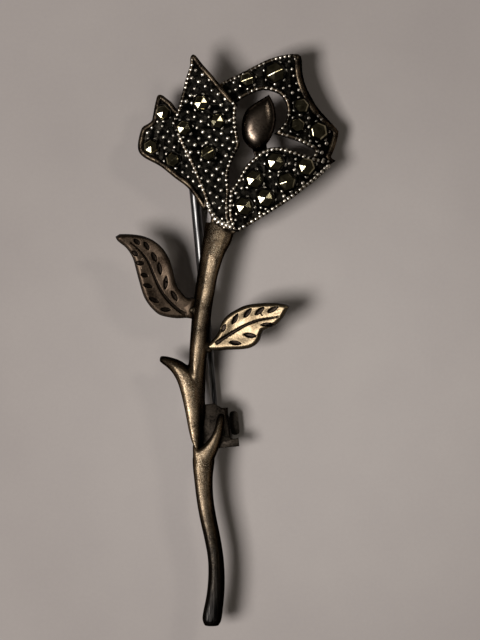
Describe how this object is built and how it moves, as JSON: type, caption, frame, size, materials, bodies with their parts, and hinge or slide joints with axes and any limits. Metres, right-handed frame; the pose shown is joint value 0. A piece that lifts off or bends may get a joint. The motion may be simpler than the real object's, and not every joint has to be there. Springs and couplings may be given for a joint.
{
  "type": "brooch",
  "caption": "Rose brooch in oxidised silver set with marcasites, with a hinged pin and a roll-over safety catch on its back.",
  "frame": {"origin": "middle of the brooch in plan, on the surface that its back hardware rests on", "axes": "+Z out of the brooch's face, +Y from the stem's end towards the flower, +X to the right seen from the front"},
  "size_m": [0.0224, 0.0572, 0.0067],
  "materials": {
    "silver_petals": "oxidised cast silver, bright on grains and rims, black in recesses",
    "silver_bud": "polished oxidised silver, warm",
    "silver_stem": "worn oxidised cast silver, finely speckled",
    "silver_leaf_dark": "dark oxidised silver with black engraved cuts",
    "silver_leaf_bright": "bright worn silver with black engraved cuts",
    "silver_findings": "dark silver, lightly tarnished",
    "pin_steel": "drawn wire, grey",
    "marcasite": "polished rose-cut pyrite"
  },
  "bodies": {
    "brooch": {"petal_left": "silver_petals", "petal_centre": "silver_petals", "petal_back": "silver_petals", "petal_front": "silver_petals", "bud": "silver_bud", "stem_upper": "silver_stem", "stem_lower": "silver_stem", "leaf_left": "silver_leaf_dark", "leaf_right": "silver_leaf_bright", "marcasite_1": "marcasite", "marcasite_2": "marcasite", "marcasite_3": "marcasite", "marcasite_4": "marcasite", "marcasite_5": "marcasite", "marcasite_6": "marcasite", "marcasite_7": "marcasite", "marcasite_8": "marcasite", "marcasite_9": "marcasite", "marcasite_10": "marcasite", "marcasite_11": "marcasite", "marcasite_12": "marcasite", "marcasite_13": "marcasite", "marcasite_14": "marcasite", "marcasite_15": "marcasite", "marcasite_16": "marcasite", "marcasite_17": "marcasite", "marcasite_18": "marcasite", "hinge_bracket": "silver_findings", "hinge_rivet": "silver_findings", "catch_plate": "silver_findings", "catch_tube": "silver_findings"},
    "pin": {"pin_stem": "pin_steel"},
    "rotor": {"catch_rotor": "silver_findings"}
  },
  "joints": [
    {"name": "pin_swing", "type": "hinge", "parent": "brooch", "child": "pin", "pos_m": [-0.00374, 0.019, 0.00125], "axis": [0.9953, 0.0965, 0], "range_deg": [0, 80]},
    {"name": "rotor_turn", "type": "hinge", "parent": "brooch", "child": "rotor", "pos_m": [-0.00107, -0.00855, 0.00125], "axis": [-0.0965, 0.9953, 0], "range_deg": [0, 100]}
  ]
}
